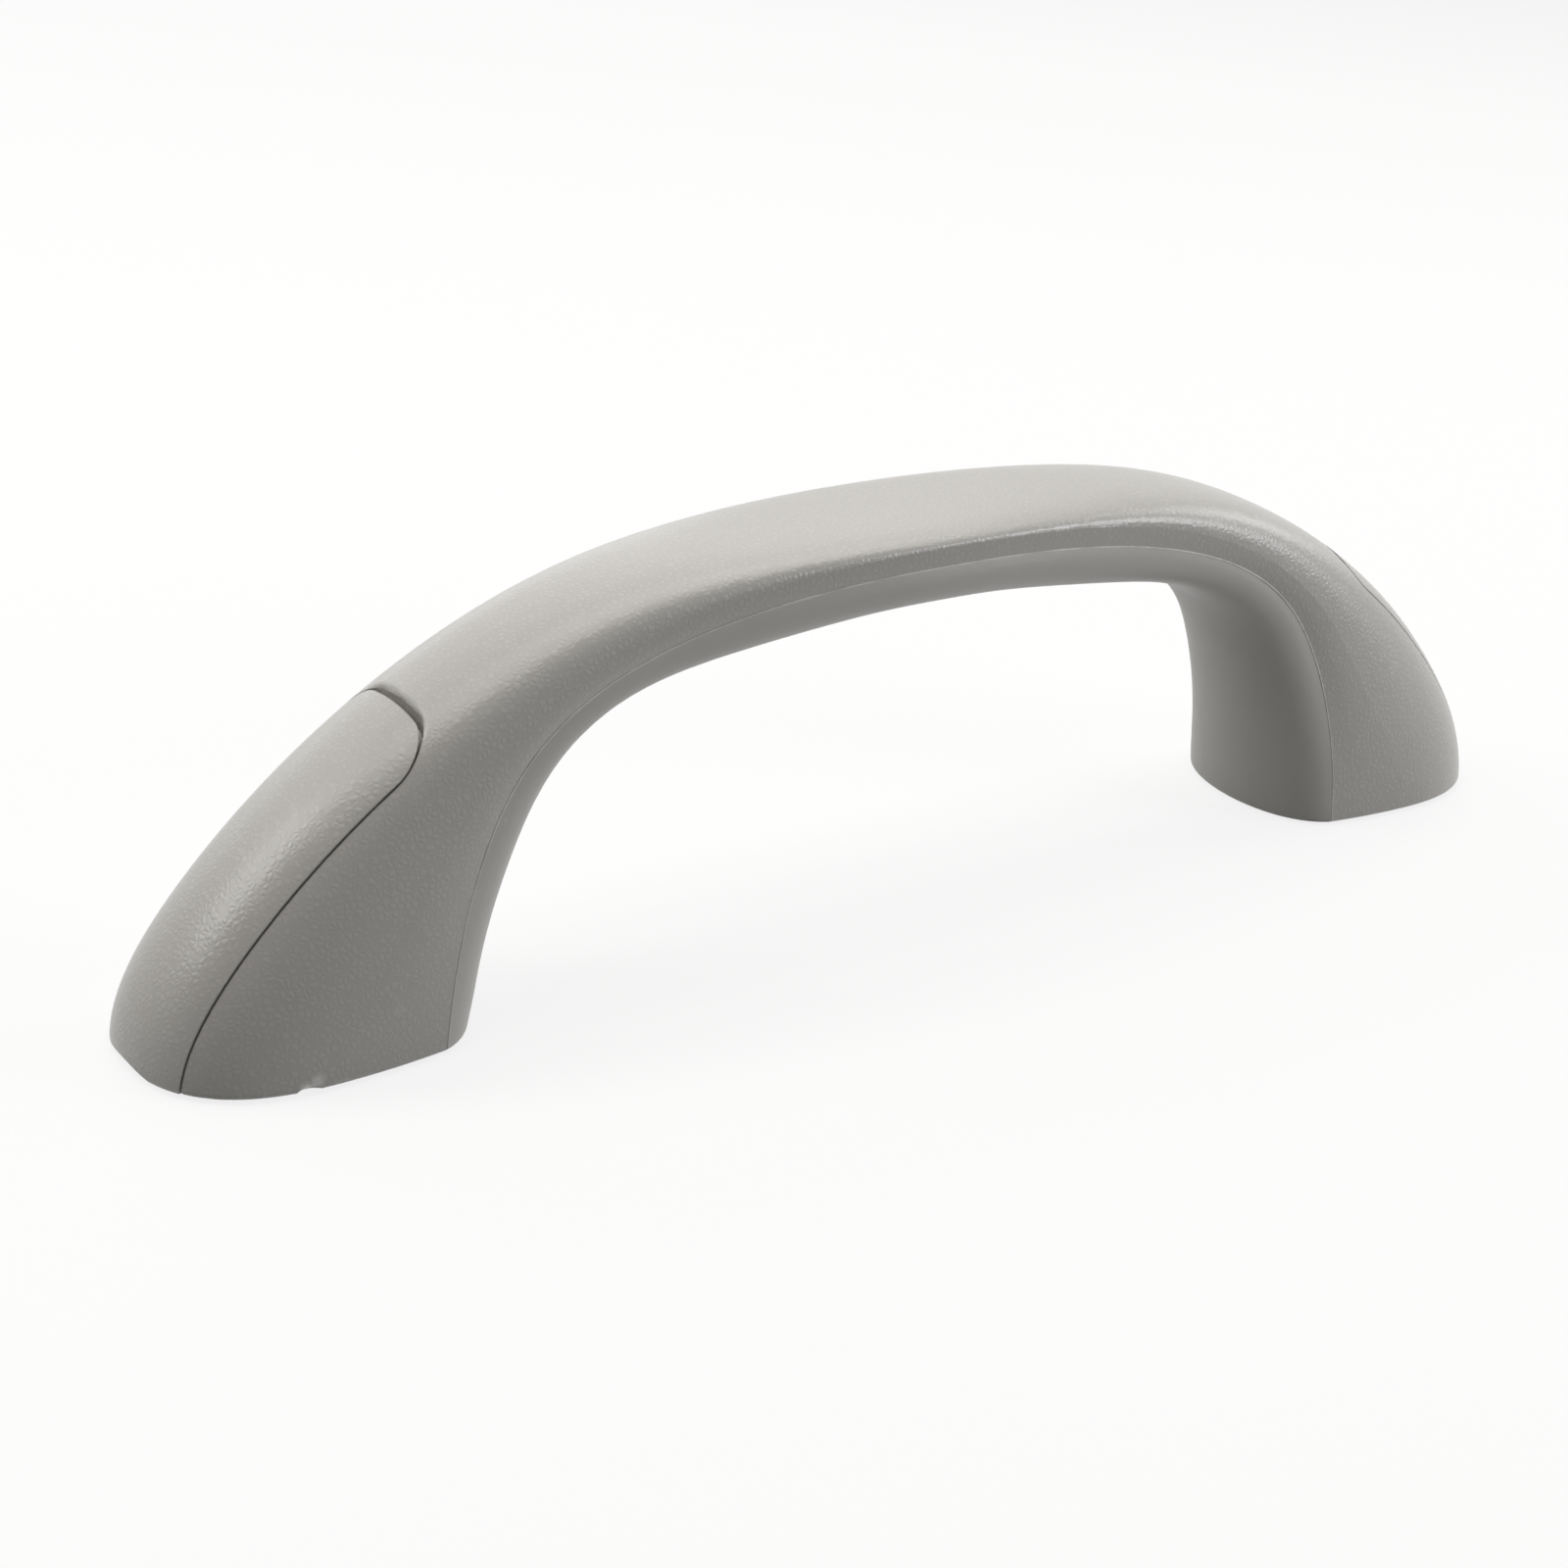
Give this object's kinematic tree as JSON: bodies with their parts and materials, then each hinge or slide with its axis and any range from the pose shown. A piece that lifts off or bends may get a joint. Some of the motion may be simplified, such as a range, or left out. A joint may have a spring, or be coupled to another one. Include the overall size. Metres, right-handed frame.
{
  "type": "grab handle",
  "caption": "Arched roof grab handle moulded in one piece, with a screw well in each foot closed by a curved cover that hinges at the toe and snaps shut.",
  "frame": {"origin": "middle of the mounting plane, midway between the two feet", "axes": "+X along the handle towards the right foot, +Y across it away from the camera side, +Z out of the roof panel towards the grip"},
  "size_m": [0.24, 0.0348, 0.0606],
  "materials": {
    "handle_plastic": "fine pebble grain, satin",
    "cover_plastic": "fine pebble grain, satin",
    "bush_steel": "plain plated steel"
  },
  "bodies": {
    "handle": {"handle_body": "handle_plastic", "left_screw_bush": "bush_steel", "right_screw_bush": "bush_steel"},
    "left_cover": {"left_screw_cover": "cover_plastic"},
    "right_cover": {"right_screw_cover": "cover_plastic"}
  },
  "joints": [
    {"name": "left_cover_hinge", "type": "hinge", "parent": "handle", "child": "left_cover", "pos_m": [-0.1183, 0, 0.0021], "axis": [0, -1, 0], "range_deg": [0, 75]},
    {"name": "right_cover_hinge", "type": "hinge", "parent": "handle", "child": "right_cover", "pos_m": [0.1183, 0, 0.0021], "axis": [0, 1, 0], "range_deg": [0, 75]}
  ]
}
